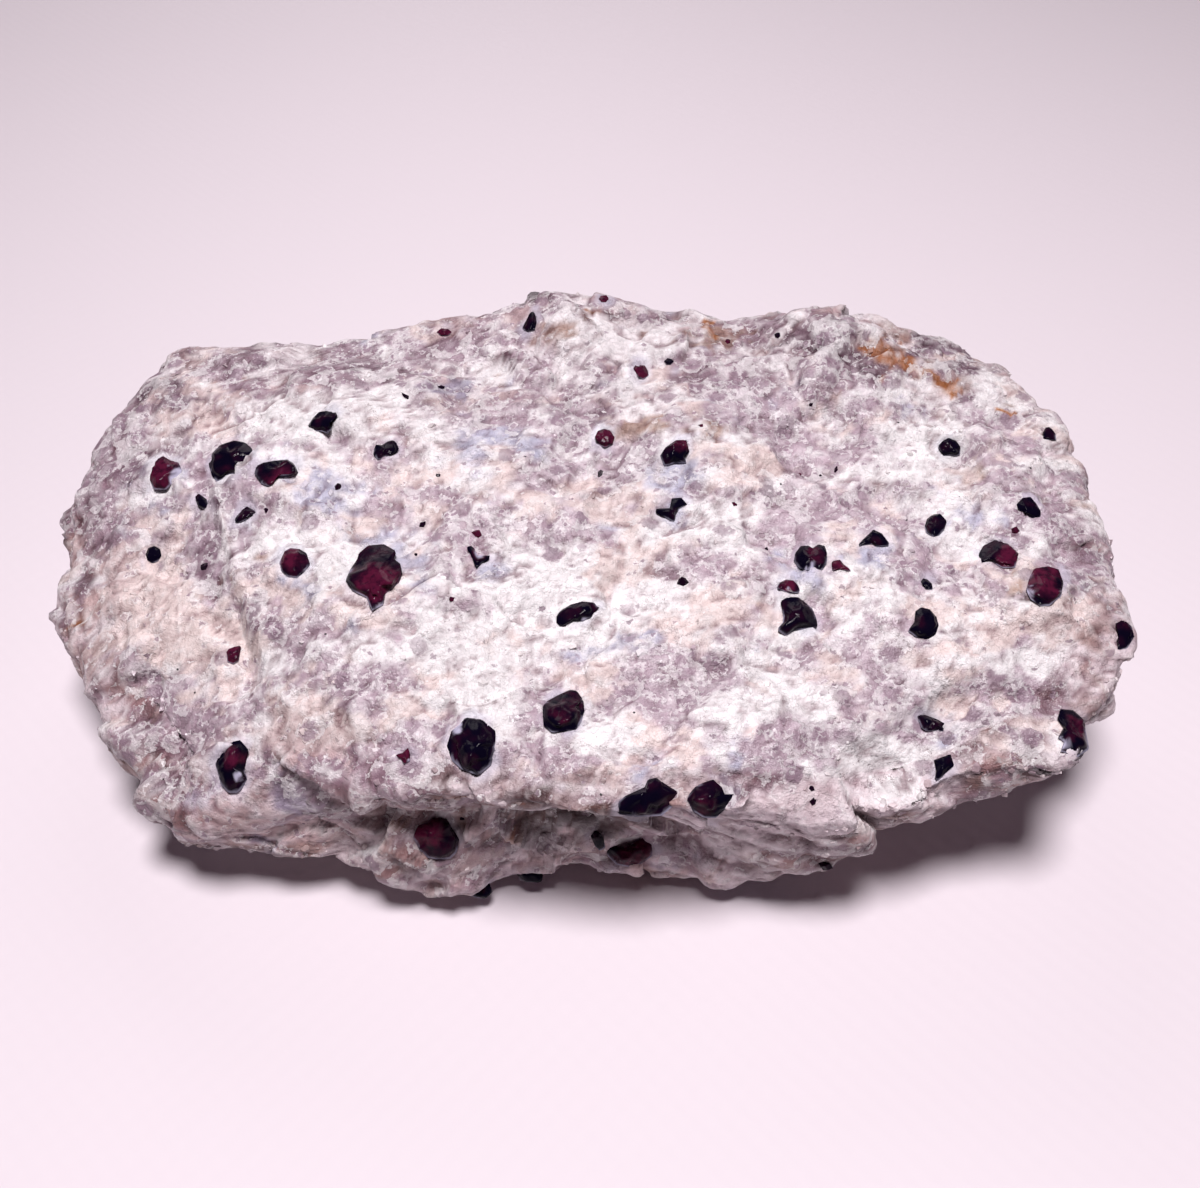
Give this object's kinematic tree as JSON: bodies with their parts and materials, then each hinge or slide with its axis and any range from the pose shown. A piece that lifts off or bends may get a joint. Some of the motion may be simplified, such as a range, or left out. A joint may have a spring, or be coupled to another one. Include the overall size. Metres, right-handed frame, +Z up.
{
  "type": "garnet in matrix",
  "caption": "Rough hand specimen of pale quartz and feldspar rock with dark red to black garnet crystals set all over it, lying on its flat side",
  "frame": {"origin": "on the flat that the specimen rests on, under the middle of the show face", "axes": "+Z up, out of the rest plane; +X along the specimen's length, with the low flank at -X; +Y from the show face's low front lip to its high back edge"},
  "size_m": [0.1035, 0.0635, 0.029],
  "materials": {
    "matrix_rock": "broken sugary quartz and feldspar, white, lavender grey and cream, dull with small glints",
    "garnet_dark": "glassy black-red garnet, natural crystal faces and broken faces",
    "garnet_red": "glassy deep red garnet, natural crystal faces and broken faces"
  },
  "bodies": {
    "root": {"matrix": "matrix_rock", "garnet_01": "garnet_dark", "garnet_02": "garnet_dark", "garnet_03": "garnet_red", "garnet_04": "garnet_dark", "garnet_05": "garnet_dark", "garnet_06": "garnet_dark", "garnet_07": "garnet_dark", "garnet_08": "garnet_dark", "garnet_09": "garnet_red", "garnet_10": "garnet_red", "garnet_11": "garnet_red", "garnet_12": "garnet_dark", "garnet_13": "garnet_red", "garnet_14": "garnet_dark", "garnet_15": "garnet_dark", "garnet_16": "garnet_red", "garnet_17": "garnet_dark", "garnet_18": "garnet_dark", "garnet_19": "garnet_dark", "garnet_20": "garnet_dark", "garnet_21": "garnet_red", "garnet_22": "garnet_dark", "garnet_23": "garnet_dark", "garnet_24": "garnet_red", "garnet_25": "garnet_dark", "garnet_26": "garnet_red", "garnet_27": "garnet_dark", "garnet_28": "garnet_dark", "garnet_29": "garnet_dark", "garnet_30": "garnet_red", "garnet_31": "garnet_dark", "garnet_32": "garnet_red", "garnet_33": "garnet_red", "garnet_34": "garnet_dark", "garnet_35": "garnet_red", "garnet_36": "garnet_dark", "garnet_37": "garnet_dark", "garnet_38": "garnet_dark", "garnet_39": "garnet_dark", "garnet_40": "garnet_red", "garnet_41": "garnet_red", "garnet_42": "garnet_dark", "garnet_43": "garnet_dark", "garnet_44": "garnet_dark", "garnet_45": "garnet_dark", "garnet_46": "garnet_dark", "garnet_47": "garnet_dark", "garnet_48": "garnet_dark", "garnet_49": "garnet_dark", "garnet_50": "garnet_dark", "garnet_51": "garnet_dark", "garnet_52": "garnet_dark", "garnet_53": "garnet_red", "garnet_54": "garnet_dark", "garnet_55": "garnet_dark", "garnet_56": "garnet_red", "garnet_57": "garnet_dark", "garnet_58": "garnet_dark", "garnet_59": "garnet_red"}
  },
  "joints": []
}
